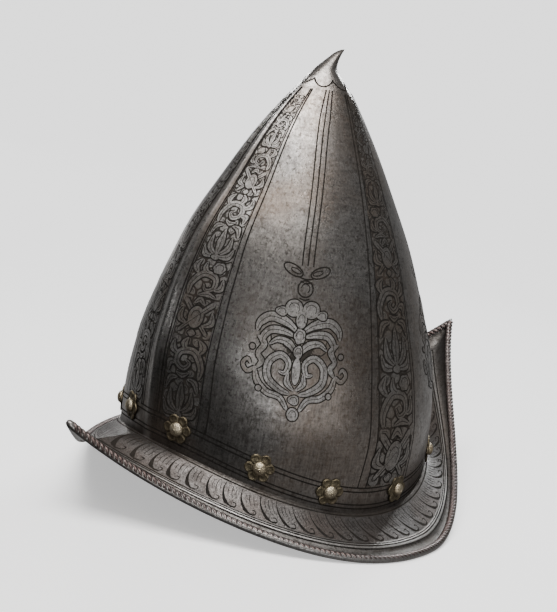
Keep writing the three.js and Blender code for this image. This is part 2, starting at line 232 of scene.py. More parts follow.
class Brim:
    """Brim sections at azimuths t: from the crease (v 0) to the turned edge (v 1)."""

    def __init__(self, t):
        t = np.asarray(t, float)
        turn = np.mod(t, 2 * math.pi)
        a = np.abs(np.where(turn > math.pi, turn - 2 * math.pi, turn))
        sign = np.where(np.sin(t) >= 0, 1.0, -1.0)
        s = 0.75 * (1 - 2 * a / math.pi) + 0.25 * np.cos(a)
        edge = edge_point(s, sign)
        self.crease = skull_point(t, crease_height(t))
        along = unit(edge_point(np.maximum(-1, s - 0.01), sign) - edge_point(np.minimum(1, s + 0.01), sign))
        self.reach = edge - self.crease
        flat = unit(self.reach * (1, 1, 0))
        cross = np.abs(flat[..., 0] * along[..., 1] - flat[..., 1] * along[..., 0])
        cross = cross / np.hypot(along[..., 0], along[..., 1])
        self.width = EDGE_RADIUS / np.maximum(cross, 0.55)
        near = np.abs(s) ** 4
        self.trough = TROUGH_SIDE + (TROUGH_TIP - TROUGH_SIDE) * near
        self.power = 1 + 1.6 * near
        deepest = self.power / (self.power + 1)
        self.full = deepest**self.power * (1 - deepest)
        self.stop = 1 - self.width / np.linalg.norm(self.reach, axis=-1)
        self.run = unit(self.place(self.stop) - self.place(self.stop - 0.08))
        self.centre = edge - self.run * self.width[..., None]
        self.up = unit(np.cross(self.run, np.stack((-flat[..., 1], flat[..., 0], 0 * s), -1)))

    def place(self, v):
        p = self.crease + self.reach * v[..., None]
        v = np.clip(v, 0, 1)
        p[..., 2] -= self.trough * v**self.power * (1 - v) / self.full
        return p

    def face(self, v, h):
        """Point of the plate's middle at share v of its width, raised by h along its normal."""
        at = v * self.stop
        p = self.place(at)
        ahead = unit(self.place(at + 0.02) - self.place(at - 0.02))
        up = unit(np.cross(ahead, np.cross(self.up, self.run)))
        up = np.where(up[..., 2:] < 0, -up, up)
        return p + up * np.asarray(h, float)[..., None]

    def turned(self, degrees, inset):
        """Point of the turned edge, by its angle from the outward direction."""
        a = np.radians(degrees)
        p = self.centre + self.run * (np.cos(a) * (self.width - inset))[..., None]
        p = p + self.up * np.asarray(np.sin(a) * (EDGE_RADIUS - inset))[..., None]
        p[..., 2] = np.maximum(p[..., 2], FLOOR + REST_FLAT)
        return p


def on_brim(t, v, h=0.0):
    t, v = np.broadcast_arrays(np.asarray(t, float), np.asarray(v, float))
    return Brim(t).face(v, WALL / 2 + np.asarray(h, float) + 0 * v)


# ---------- mesh helpers ----------

def link_object(name, data):
    obj = bpy.data.objects.new(name, data)
    bpy.context.scene.collection.objects.link(obj)
    return obj


def bare_mesh(name, points, faces=()):
    """Mesh from points in millimetres."""
    mesh = bpy.data.meshes.new(name)
    mesh.from_pydata((np.asarray(points) * MM).tolist(), [], [tuple(f) for f in faces])
    mesh.polygons.foreach_set("use_smooth", [True] * len(mesh.polygons))
    return mesh


def make_mesh(name, points, faces, materials, picks=None):
    """Object at the origin from points in millimetres over rivet level."""
    mesh = bare_mesh(name, np.asarray(points) + SHIFT, faces)
    for material in materials:
        mesh.materials.append(material)
    if picks is not None:
        mesh.polygons.foreach_set("material_index", np.asarray(picks, dtype=np.int32))
    mesh.validate()
    return link_object(name, mesh)


def quads(count, rows, closed_rows=False, first=0):
    """Quads between rows of count points each, numbered from first."""
    index = np.arange(count) + first
    after = np.roll(index, -1)
    faces = []
    for i in range(rows if closed_rows else rows - 1):
        low, high = i * count, (i + 1) % rows * count
        faces += np.stack((index + low, index + high, after + high, after + low), -1).tolist()
    return faces


def fan(tip, first, count):
    """Triangles from the point tip to a row of count points."""
    return [(tip, first + j, first + (j + 1) % count) for j in range(count)]


def capped(count, rows):
    """Faces of a closed body from rows of count points."""
    last = count * (rows - 1)
    return quads(count, rows) + [range(count)[::-1], range(last, last + count)]


def mark(obj, name, values):
    layer = obj.data.attributes.new(name, "FLOAT", "POINT")
    layer.data.foreach_set("value", np.asarray(values, dtype=np.float32))


def ride_as(obj, slot, *nodes):
    if nodes:
        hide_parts(*nodes)
    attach(obj, "root")


class Strips:
    """Collects narrow ribbons that lie on the helmet, so that one mesh holds them all."""

    def __init__(self):
        self.place = None
        self.points, self.faces, self.picks = [], [], []
        self.count = 0

    def add(self, a, b, width, pick=0, h=0.03, across=1, closed=False):
        """Ribbon along the line (a, b) in millimetres on the face; place() lays it on the metal."""
        line = np.stack((np.asarray(a, float), b))
        if closed:
            da, db = np.roll(line, -1, 1) - np.roll(line, 1, 1)
        else:
            da, db = np.gradient(line, axis=1)
        out = np.stack((-db, da)) / np.maximum(np.hypot(da, db), 1e-9)
        k = np.linspace(-0.5, 0.5, across + 1)
        a, b = line[..., None] + (out * width)[..., None] * k
        self.grid(self.place(a, b, h + 0 * a), pick, closed)

    def ribbon(self, p, n, width, h=0.0):
        """Ribbon along points p, raised by h along their normals n."""
        side = unit(np.cross(n, unit(np.gradient(p, axis=0)))) * width / 2
        self.grid(np.stack((p + n * h + side, p + n * h - side), 1))

    def disc(self, x, y, across, up, pick, h, shares=(0.02, 0.5, 1.0)):
        """Flat lobe round (x, y), its edge at (across, up) from there."""
        shares = np.array(shares)[:, None]
        a, b = x + across * shares, y + up * shares
        self.grid(self.place(a, b, h + 0 * a), pick, round_too=True)

    def grid(self, grid, pick=0, closed=False, round_too=False):
        """Quads of a grid of points, closed along its first or its second side."""
        n, m = grid.shape[:2]
        i, k = np.meshgrid(np.arange(n if closed else n - 1), np.arange(m if round_too else m - 1), indexing="ij")
        j, l = (i + 1) % n, (k + 1) % m
        faces = self.count + np.stack((i * m + k, i * m + l, j * m + l, j * m + k), -1).reshape(-1, 4)
        self.points.append(grid.reshape(-1, 3))
        self.count += n * m
        along, over = grid[1:, :-1] - grid[:-1, :-1], grid[:-1, 1:] - grid[:-1, :-1]
        outward = unit(grid[:-1, :-1] * (1, 1, 0)) + (0, 0, 1)
        inward = (np.cross(along, over) * outward).sum() > 0
        self.faces += (faces[:, ::-1] if inward else faces).tolist()
        self.picks += [pick] * len(faces)

    def object(self, name, materials):
        return make_mesh(name, np.concatenate(self.points), self.faces, materials, self.picks)


# ---------- node helpers ----------

class Nodes:
    """Small writer of shader and geometry node trees."""

    def __init__(self, tree):
        self.tree = tree

    def set(self, node, inputs):
        """Link or set the named inputs of a node."""
        for key, value in inputs.items():
            socket = node.inputs[key]
            if isinstance(value, bpy.types.NodeSocket):
                self.tree.links.new(value, socket)
            else:
                socket.default_value = (*value, 1) if socket.type == "RGBA" else value

    def add(self, kind, inputs=None, **values):
        node = self.tree.nodes.new(kind)
        for key, value in values.items():
            setattr(node, key, value)
        self.set(node, inputs or {})
        return node

    def math(self, operation, a, b, clamp=False):
        return self.add("ShaderNodeMath", {0: a, 1: b}, operation=operation, use_clamp=clamp).outputs[0]

    def total(self, *terms):
        """Weighted sum of sockets."""
        out = 0.0
        for socket, weight in terms:
            out = self.math("ADD", out, self.math("MULTIPLY", socket, weight))
        return out

    def ramp(self, fac, stops):
        node = self.add("ShaderNodeValToRGB", {0: fac})
        element = node.color_ramp.elements
        while len(element) < len(stops):
            element.new(0.5)
        for e, (place, value) in zip(element, stops):
            e.position = place
            e.color = (value, value, value, 1)
        return node.outputs[0]

    def mix(self, fac, a, b, blend="MIX"):
        return self.add("ShaderNodeMix", {0: fac, 6: a, 7: b}, data_type="RGBA", blend_type=blend).outputs[2]

    def noise(self, vector, scale, detail, rough, distortion=0.0):
        return self.add("ShaderNodeTexNoise", {
            "Vector": vector, "Scale": scale, "Detail": detail, "Roughness": rough, "Distortion": distortion,
        }).outputs[0]

    def stretch(self, vector, scale):
        return self.add("ShaderNodeMapping", {"Vector": vector, "Scale": scale}).outputs[0]


def node_tree(name, kind, sockets):
    """New node group with its sockets (side, type, name, default), a writer and the two end nodes."""
    tree = bpy.data.node_groups.new(name, kind)
    for side, form, label, *default in sockets:
        socket = tree.interface.new_socket(name=label, in_out=side, socket_type="NodeSocket" + form)
        if default:
            socket.default_value = default[0]
    nodes = Nodes(tree)
    return tree, nodes, nodes.add("NodeGroupInput"), nodes.add("NodeGroupOutput")


BUMP_DEPTH = 0.0004


def patina_group():
    """Mottled age on steel: stains, pits and fine hammer and file marks."""
    found = bpy.data.node_groups.get("old_metal")
    if found:
        return found
    tree, n, inp, out = node_tree("old_metal", "ShaderNodeTree", (
        ("INPUT", "Float", "Scale", 1.0),
        ("INPUT", "Float", "Pits", 0.5),
        ("OUTPUT", "Float", "Stain"),
        ("OUTPUT", "Float", "Rust"),
        ("OUTPUT", "Float", "Brush"),
        ("OUTPUT", "Float", "Height"),
    ))
    place = n.add("ShaderNodeTexCoord").outputs["Object"]
    v = n.add("ShaderNodeVectorMath", {0: place, 3: inp.outputs["Scale"]}, operation="SCALE").outputs[0]
    broad = n.noise(v, 24, 5, 0.6, 0.4)
    patch = n.noise(v, 70, 6, 0.72, 0.8)
    small = n.noise(v, 240, 5, 0.75, 0.5)
    grain = n.noise(v, 700, 3, 0.7)
    fleck = n.noise(n.stretch(v, (520, 520, 300)), 1.0, 4, 0.75, 0.3)
    stain = n.total((broad, 0.26), (patch, 0.24), (small, 0.24), (fleck, 0.26))
    stain = n.ramp(stain, ((0.395, 0.0), (0.60, 1.0)))
    specks = n.ramp(n.noise(v, 430, 3, 0.6), ((0.36, 0.15), (0.44, 1.0)))
    warm = n.ramp(n.noise(v, 15, 3, 0.5, 0.3), ((0.42, 0.0), (0.60, 1.0)))
    upright = n.noise(n.stretch(v, (1100, 1100, 30)), 1.0, 3, 0.7)
    level = n.noise(n.stretch(v, (110, 110, 900)), 1.0, 2, 0.6)
    fine = n.total((upright, 0.50), (level, 0.22), (grain, 0.28))
    pit = n.add("ShaderNodeTexVoronoi", {"Vector": v, "Scale": 330}).outputs["Distance"]
    depth = n.ramp(pit, ((0.05, 1.0), (0.32, 0.0)))
    where = n.ramp(n.noise(v, 48, 4, 0.7), ((0.5, 0.0), (0.62, 1.0)))
    flat = n.math("SUBTRACT", 1.0, n.math("MULTIPLY", depth, where))
    n.set(out, {
        "Stain": n.math("MULTIPLY", stain, specks),
        "Rust": n.math("MULTIPLY", warm, n.math("ADD", patch, 0.2)),
        "Brush": n.ramp(fine, ((0.36, 0.0), (0.62, 1.0))),
        "Height": n.total((flat, inp.outputs["Pits"]), (grain, 0.5), (fine, 0.35)),
    })
    return tree


def metal_material(name, dark, light, rust, rough, pits, scale=1.0, bump=0.25, metallic=0.95, streaks=0.7, marks=()):
    """Aged metal: colours, the old_metal group and marks carried by the mesh."""
    mat = bpy.data.materials.new(name)
    mat.use_nodes = True
    n = Nodes(mat.node_tree)
    shader = mat.node_tree.nodes["Principled BSDF"]
    age = n.add("ShaderNodeGroup", node_tree=patina_group())
    n.set(age, {"Scale": scale, "Pits": pits})
    stain, brush = age.outputs["Stain"], age.outputs["Brush"]
    colour = n.mix(stain, dark, light)
    colour = n.mix(n.math("MULTIPLY", age.outputs["Rust"], 0.75), colour, rust)
    streak = n.math("ADD", n.math("MULTIPLY", brush, streaks), 1.0 - streaks * 0.5)
    bright = n.add("ShaderNodeCombineColor", {0: streak, 1: streak, 2: streak})
    colour = n.mix(1.0, colour, bright.outputs[0], "MULTIPLY")
    roughness = n.math("SUBTRACT", rough + 0.14, n.math("MULTIPLY", stain, 0.20))
    for label, tint, amount, gloss in marks:
        mask = n.add("ShaderNodeAttribute", attribute_name=label).outputs["Fac"]
        patchy = n.math("MULTIPLY", mask, n.math("ADD", n.math("MULTIPLY", brush, 0.7), 0.55), clamp=True)
        mask = n.math("MULTIPLY", patchy, amount, clamp=True)
        colour = n.mix(mask, colour, tint)
        roughness = n.math("ADD", roughness, n.math("MULTIPLY", mask, gloss))
    lift = n.add("ShaderNodeBump", {"Strength": bump, "Distance": BUMP_DEPTH, "Height": age.outputs["Height"]})
    n.set(shader, {
        "Base Color": colour,
        "Roughness": n.math("ADD", roughness, n.math("MULTIPLY", brush, 0.06), clamp=True),
        "Metallic": metallic,
        "Specular IOR Level": 0.5 * metallic,
        "Normal": lift.outputs[0],
    })
    return mat


# ---------- sizes and colours that a user would change ----------

def number(kind, name, description, default, low, high, **more):
    return kind(name=name, description=description, default=default, min=low, max=high, **more)


def colour_prop(name, description, default):
    return number(FloatVectorProperty, name, description, default, 0, 1, size=3, subtype="COLOR")


class MorionPlateSettings(bpy.types.PropertyGroup):
    columns: number(IntProperty, "Columns", "Number of sections round the plate", 240, 48, 400)
    steel_dark: colour_prop("Stained steel", "Colour of the steel in its stains", (0.052, 0.047, 0.043))
    steel_light: colour_prop("Clean steel", "Colour of the steel between its stains", (0.27, 0.258, 0.246))
    steel_rust: colour_prop("Brown patina", "Warm tint of the old patina", (0.130, 0.100, 0.078))
    roughness: number(FloatProperty, "Roughness", "Roughness of the bare steel", 0.26, 0.05, 1, subtype="FACTOR")


class MorionOrnamentSettings(bpy.types.PropertyGroup):
    line_width: number(
        FloatProperty, "Line", "Width of an engraved line", 0.00088, 0.0001, 0.003, unit="LENGTH", precision=5,
    )
    line_colour: colour_prop("Line", "Colour of the blackened lines", (0.010, 0.009, 0.008))
    ground_colour: colour_prop("Etched ground", "Colour of the blackened ground of the bands", (0.018, 0.016, 0.014))
    leaf_count: number(IntProperty, "Leaves", "Number of leaves round the brim", 66, 20, 200)


class MorionTrimSettings(bpy.types.PropertyGroup):
    rope_strands: number(IntProperty, "Rope turns", "Number of turns of the roped edge", 300, 60, 600)
    brass: colour_prop("Brass", "Colour of the rosettes", (0.20, 0.168, 0.110))
    head: colour_prop("Rivet head", "Colour of the worn rivet heads", (0.60, 0.52, 0.38))
    floor: colour_prop("Floor", "Colour of the pale floor", (0.80, 0.80, 0.80))


def settings():
    scene = bpy.context.scene
    return scene.morion_plate, scene.morion_ornament, scene.morion_trim


def shade(colour, share):
    return tuple(c * share for c in colour)


# ---------- plate ----------

SKULL_ROWS = np.linspace(1, 0.12, 66)
CROWN_ROWS = 6


def stalk_root():
    return (skull_point(0, SKULL_HEIGHT)[0] + skull_point(math.pi, SKULL_HEIGHT)[0]) / 2


def crown(t):
    """Rings of the stalk and of the skull's top, from the tip down, with the join between them eased."""
    rings = []
    for up in np.linspace(0.975, 0.245, 14):
        wide, lean = (smooth_rows(STALK_SECTIONS, k, up) for k in (1, 2))
        x = stalk_root() - STALK_LEAN * lean
        rings.append(hoop(t, STALK_ROOT_RADIUS * wide, SKULL_HEIGHT + STALK_HEIGHT * up, x))
    base = crease_height(t)
    for v in SKULL_ROWS[:CROWN_ROWS]:
        rings.append(skull_point(t, base + (SKULL_HEIGHT - base) * v))
    join = range(11, 16)
    for i in [*join] * 6:
        rings[i] = 0.25 * rings[i - 1] + 0.5 * rings[i] + 0.25 * rings[i + 1]
    return rings


class MORION_OT_plate(bpy.types.Operator):
    """Make the skull, stalk, brim and turned edge as one fine plate."""

    bl_idname = "morion.plate"
    bl_label = "Helmet plate"

    def execute(self, context):
        look = settings()[0]
        columns = look.columns
        t = circle(columns)
        brim = Brim(t)
        rings, wear, grime_and_shade = [], [], []

        def ring(points, worn=0.0, dirt_and_shade_amount=0.0):
            rings.append(points)
            wear.append(np.broadcast_to(worn, t.shape))
            grime_and_shade.append(np.broadcast_to(dirt_and_shade_amount, t.shape))

        keel = bump(np.minimum(t, 2 * math.pi - t), 0, 0.035) + bump(t, math.pi, 0.035)
        for points in crown(t):
            ring(points, worn=0.08 * (points[0, 2] > SKULL_HEIGHT) + 0.5 * keel)
        base = crease_height(t)
        for v in np.concatenate((SKULL_ROWS[CROWN_ROWS:], np.linspace(0.11, 0.016, 12), (0.010, 0.005, 0.0))):
            z = base + (SKULL_HEIGHT - base) * v
            # painted shade: the skull grows darker close to the crease over the brim; a darker patch is also laid
            # high on each side near the top
            dirt_and_shade = np.exp(-(z - base) / 5.0) + 0.7 * bump(np.abs(t - math.pi), 2.02, 0.10) * bump(z, 200, 16)
            ring(skull_point(t, z), worn=keel * 0.7, dirt_and_shade_amount=dirt_and_shade)
        half = WALL / 2
        for v in np.concatenate(((0.012, 0.03, 0.06), np.linspace(0.1, 0.985, 30))):
            relief = 0.30 * bump(v, 0.685, 0.022) + 0.35 * bump(v, 0.745, 0.022) - 0.50 * bump(v, 0.88, 0.085, 4)
            # painted shade: the brim grows darker next to the crease and at the foot of the turned edge, over an
            # even darker tone of the whole brim
            dirt_and_shade = 0.52 + 0.45 * math.exp(-v / 0.09) + 0.3 * bump(v, 0.93, 0.05)
            ring(brim.face(0 * t + v, half + relief + 0 * t), min(1, max(0, relief) * 1.3), min(1, dirt_and_shade))
        for degrees in (158, 140, 118, 95, 72, 48, 24, 0, -24, -48, -72, -95, -116):
            ring(brim.turned(degrees, 0.35), worn=0.25, dirt_and_shade_amount=0.5)
        for v in np.linspace(0.97, 0.04, 16):
            ring(brim.face(0 * t + v, 0 * t - half))
        top = SKULL_HEIGHT * 0.985
        for v in np.linspace(0, 0.93, 40):
            z = base + (SKULL_HEIGHT - base) * v
            p = skull_point(t, z) - skull_normal(t, np.minimum(z, top)) * WALL
            if v == 0:
                p[..., 2] -= WALL * 0.6
            ring(p)
        tip = np.array((stalk_root() - STALK_LEAN, 0, SKULL_HEIGHT + STALK_HEIGHT))
        roof = rings[-1].mean(0) + (0, 0, 0.6)
        points = np.concatenate([tip[None]] + rings + [roof[None]])
        faces = fan(0, 1, columns) + quads(columns, len(rings), first=1)
        faces += [f[::-1] for f in fan(len(points) - 1, 1 + (len(rings) - 1) * columns, columns)]
        # its first mark darkens the steel with dirt and with painted shade in the creases, its second brightens worn
        # ridges
        steel = metal_material(
            "patinated_steel", look.steel_dark, look.steel_light, look.steel_rust, look.roughness, 0.8,
            marks=(("grime_and_shade", (0.030, 0.026, 0.023), 0.9, 0.25), ("wear", (0.60, 0.58, 0.56), 0.7, -0.12)),
        )
        obj = make_mesh("helmet_plate", points, faces, [steel])
        mark(obj, "wear", np.concatenate(([0.4], *wear, [0])))
        # darkening from dirt and from painted shade in the creases, as laid ring by ring above
        mark(obj, "grime_and_shade", np.concatenate(([0], *grime_and_shade, [0])))
        ride_as(obj, "steel_plate", "helmet_shell")
        return {"FINISHED"}


# ---------- engraving ----------

def run_along(p):
    """Length of the path p up to each of its points."""
    return np.concatenate(((0,), np.cumsum(np.linalg.norm(np.diff(p, axis=0), axis=-1))))


def skull_place(t0, z0):
    """Lays a drawing, in millimetres, on the skull: round the point (t0, z0), or along a line of such points."""
    line = np.ndim(t0) > 0
    heights = z0 if line else np.linspace(-15, SKULL_HEIGHT, 80)
    middle = t0 if line else np.full(80, t0)
    across = arc(middle, heights)

    def place(a, b, h):
        z = b if line else z0 + b
        return on_skull(np.interp(z, heights, middle) - a / np.interp(z, heights, across), z, h)

    return place


def line_on_skull(strips, t, z, width):
    """Line through (t, z), raised more where the join of the stalk is eased."""
    t, z = np.broadcast_arrays(t, z)
    h = 0.04 + 0.35 * np.clip((z[:, None] - 214) / 10, 0, 1)
    strips.ribbon(skull_point(t, z), skull_normal(t, z), width, h)


def line_on_brim(strips, t, v, width, h=0.05):
    p = on_brim(t, v, h)
    strips.ribbon(p, unit(on_brim(t, v, h + 1.0) - p), width)


# azimuths in radians, lengths in millimetres, brim lines and tops as shares
BAND_RIDGE = (0.085, 0.428)
BAND_SIDE = (1.369, 1.785)
BAND_MARGIN = 4.5
BAND_TOP = 0.965
BAND_LINE_TOP = 0.985
BASE_LINES = (4.3, 1.6, -6.4, -8.8)
BRIM_LINES = (0.665, 0.705, 0.775)
PENDANT = 0.883
CORD_SPACING = 3.0
CORD_TOP = 0.988
CORD_BOTTOM = 126.5
BOW_HEIGHT = 121.5
CARTOUCHE_HEIGHT = 78.0
COLLAR_RING = 12.9
LEAF_LENGTH = 10.0
ROUND = np.linspace(0, 2 * math.pi, 481)


def both(path, widths):
    """A stroke and its mirror image."""
    return (path, widths), (tuple((-x, y) for x, y in path), widths)


# repeats of a band: strokes as path and widths, then scalloped lobes, across from -0.5 to 0.5 and up from 0 to 1
MOTIFS = (
    ((((-0.4, 0), (-0.42, 0.34), (-0.2, 0.66), (0.14, 0.62), (0.22, 0.36), (0.02, 0.22), (-0.12, 0.36), (0, 0.45)),
      (0.12, 0.17, 0.15, 0.11, 0.06)),
     (((-0.3, 0.6), (-0.38, 0.8), (-0.24, 0.98)), (0.06, 0.19, 0.03)),
     (((0.02, 0.66), (0.1, 0.82), (0.02, 0.99)), (0.06, 0.18, 0.03)),
     (((0.2, 0.54), (0.38, 0.66), (0.38, 0.9)), (0.06, 0.19, 0.03)),
     (((0.22, 0.32), (0.4, 0.3), (0.42, 0.06)), (0.06, 0.18, 0.03)),
     (((-0.16, 0.14), (0.02, 0.04), (0.2, 0.1)), (0.04, 0.13, 0.03))),
    (*both(((-0.42, 0.06), (0, 0.5), (0.42, 0.94)), (0.08, 0.09, 0.14)),
     *both(((-0.2, 0.3), (-0.42, 0.42), (-0.38, 0.7)), (0.05, 0.17, 0.03)),
     (((-0.14, 0.82), (0, 0.94), (0.14, 0.82)), (0.05, 0.14, 0.05)),
     (0, 0.5, 0.2, 0.27, 0), (0, 0.1, 0.1, 0.08, 4)),
    ((((0.4, 0), (0.4, 0.3), (0.14, 0.6), (-0.2, 0.54), (-0.24, 0.28), (-0.04, 0.2), (0.06, 0.36)),
      (0.12, 0.17, 0.15, 0.09, 0.05)),
     (((0.28, 0.58), (0.42, 0.76), (0.3, 0.97)), (0.06, 0.19, 0.03)),
     (((-0.26, 0.22), (-0.42, 0.3), (-0.42, 0.56)), (0.05, 0.16, 0.03)),
     (((-0.02, 0.62), (0.14, 0.74), (0.12, 0.94)), (0.05, 0.15, 0.03)),
     (((-0.4, 0.02), (-0.14, 0.1), (0.12, 0.04)), (0.04, 0.14, 0.04)),
     (-0.22, 0.8, 0.17, 0.15, 6)),
    (*both(((0, 0.1), (0.26, 0.34), (0.28, 0.7)), (0.05, 0.17, 0.03)),
     *both(((0, 0.08), (0.34, 0.12), (0.44, 0.38)), (0.05, 0.17, 0.03)),
     (((0, 0.1), (0, 0.5), (0, 0.9)), (0.07, 0.22, 0.03)),
     *both(((0.12, 0.98), (0.32, 0.92), (0.42, 0.66)), (0.05, 0.14, 0.04)),
     (0, 0.07, 0.12, 0.08, 3)),
)


def draw_cells(strips, seeds, line, edges):
    """Small rounded lobes that fill the ground and leave dark lines and pits between them."""
    p = np.array([q[:2] for q in seeds])
    r = np.array([q[2] for q in seeds])
    angle = circle(20)
    for i, (x, y, size) in enumerate(seeds):
        d = p - p[i]
        far = np.hypot(d[:, 0], d[:, 1])
        near = (far > 1e-6) & (far < 4 * (size + r))
        split = (far[near] ** 2 + size**2 - r[near] ** 2) / (2 * far[near])
        heading = np.arctan2(d[near, 1], d[near, 0])
        facing = np.maximum(0, np.cos(angle[:, None] - heading))
        room = np.maximum(split - line / 2, 0.15 * size)
        press = ((facing / room) ** 7).sum(1) + (1 / (size * 1.3)) ** 7
        half = edges(y)
        for side in (-1, 1):
            wall = max(half - side * x - line * 0.3, 0.12 * size)
            press += (np.maximum(0, side * np.cos(angle)) / wall) ** 7
        radius = press ** (-1 / 7) * (1 - 0.12 * np.abs(np.sin(1.5 * angle + i)) ** 4)
        strips.disc(x, y, radius * np.cos(angle), radius * np.sin(angle), 0, 0.08, (0.02, 1.0))
        if i % 2:
            inner, turned = 0.55 * radius[:12], angle[:12] + i
            strips.add(x + inner * np.cos(turned), y + inner * np.sin(turned), line * 0.4, 1, 0.12)


def smooth_path(points, fine=7):
    """Smooth path through a few points, with fine steps between two of them."""
    points = np.asarray(points, float)
    at = np.linspace(0, len(points) - 1, (len(points) - 1) * fine + 1)
    i = np.clip(at.astype(int), 0, len(points) - 2)
    u = (at - i)[:, None]
    p = np.concatenate((points[:1] * 2 - points[1:2], points, points[-1:] * 2 - points[-2:-1]))
    p0, p1, p2, p3 = p[i], p[i + 1], p[i + 2], p[i + 3]
    square, cube = 2 * p0 - 5 * p1 + 4 * p2 - p3, 3 * p1 - p0 - 3 * p2 + p3
    return 0.5 * (2 * p1 + (p2 - p0) * u + square * u**2 + cube * u**3)


def spread(widths, count):
    """Widths of count points along a stroke, from a few given ones."""
    return np.interp(np.linspace(0, 1, count), np.linspace(0, 1, len(widths)), widths)


def draw_stroke(strips, points, widths, line, h, vein=True):
    """Light strap or leaf with a dark outline along a smooth path."""
    q = smooth_path(points)
    k = np.linspace(0, 1, len(q))
    wide = spread(widths, len(q)) * np.sqrt(np.maximum(1 - np.abs(2 * k - 1) ** 10, 0.0)) + 0.02
    strips.add(*q.T, wide + line * 2 * (1 - np.abs(2 * k - 1) ** 30), 1, h, across=2)
    strips.add(*q.T, wide, 0, h + 0.05, across=2)
    if vein:
        strips.add(*q[2:-2].T, line * 0.45, 1, h + 0.10)


def draw_lobe(strips, x, y, wide, high, line, h, points):
    """Round or scalloped light lobe with a dark outline."""
    angle = circle(32)
    c, s = np.cos(angle), np.sin(angle)
    scallop = 1 - 0.14 * np.abs(np.sin(angle * points / 2)) ** 3 if points else 1.0
    for grow, pick, rise in ((line, 1, 0.0), (0.0, 0, 0.05)):
        strips.disc(x, y, (wide + grow) * c * scallop, (high + grow) * s * scallop, pick, h + rise)
    if min(wide, high) > 2.4:
        strips.add(x + 0.62 * wide * c[:20], y + 0.62 * high * s[:20], line * 0.5, 1, h + 0.10)


# strokes on one side of the cartouche, in millimetres round its middle: path, widths and whether it has a vein
STRAPS = (
    (((1, 12), (8, 17), (17, 19), (23, 15), (24.5, 9.5)), (2, 5, 4.6, 1.6), True),
    (((3, 10), (10, 12), (17, 11.5), (21, 6), (18.5, 2)), (2, 4, 3.6, 1.2), True),
    (((24, 8), (19.5, 3.5), (22.5, -2), (20, -6), (23, -10.5)), (1.6, 3.4, 2.4, 3, 1.6), False),
    (((23, -9.5), (27.5, -12.5), (30.5, -9), (28, -5.8), (25.8, -8.6)), (2, 2.2, 1.8, 1.2), False),
    (((23.5, -10), (21.5, -17), (15.5, -22.5), (8, -24.5), (3, -31.5)), (2.2, 3.4, 3.4, 3, 2), True),
    (((2.2, -22), (8.5, -20), (15.6, -14.5), (16, -6), (10, -1), (4.8, -4.6), (6.2, -10.4), (10.4, -10)),
     (2.4, 4, 3.8, 3, 1.6), True),
    (((0.4, -20), (4.6, -15.5), (4.4, -9.5)), (1.2, 3.4, 1), True),
    (((0.8, 0.5), (5.6, 5.6), (12, 7), (17, 3.6)), (2.2, 4, 3, 1), True),
)

# its lobes: place, half sizes and number of scallops
LOBES = (
    (5, 25, 4.9, 4.6, 0), (11.8, 22.6, 3.4, 2.6, 3), (0, 19.2, 3, 4.6, 0), (0, 10.2, 3.4, 4.4, 5),
    (0, -33, 3.2, 3.6, 0), (0, -25, 3.2, 2.8, 3), (26, 1.2, 1.5, 1.5, 0), (20.4, -21, 1.5, 1.5, 0),
    (0, -9, 2.3, 7.4, 0), (0, 1.6, 2.6, 3.6, 3),
)
SHIELD_LINE = 0.75


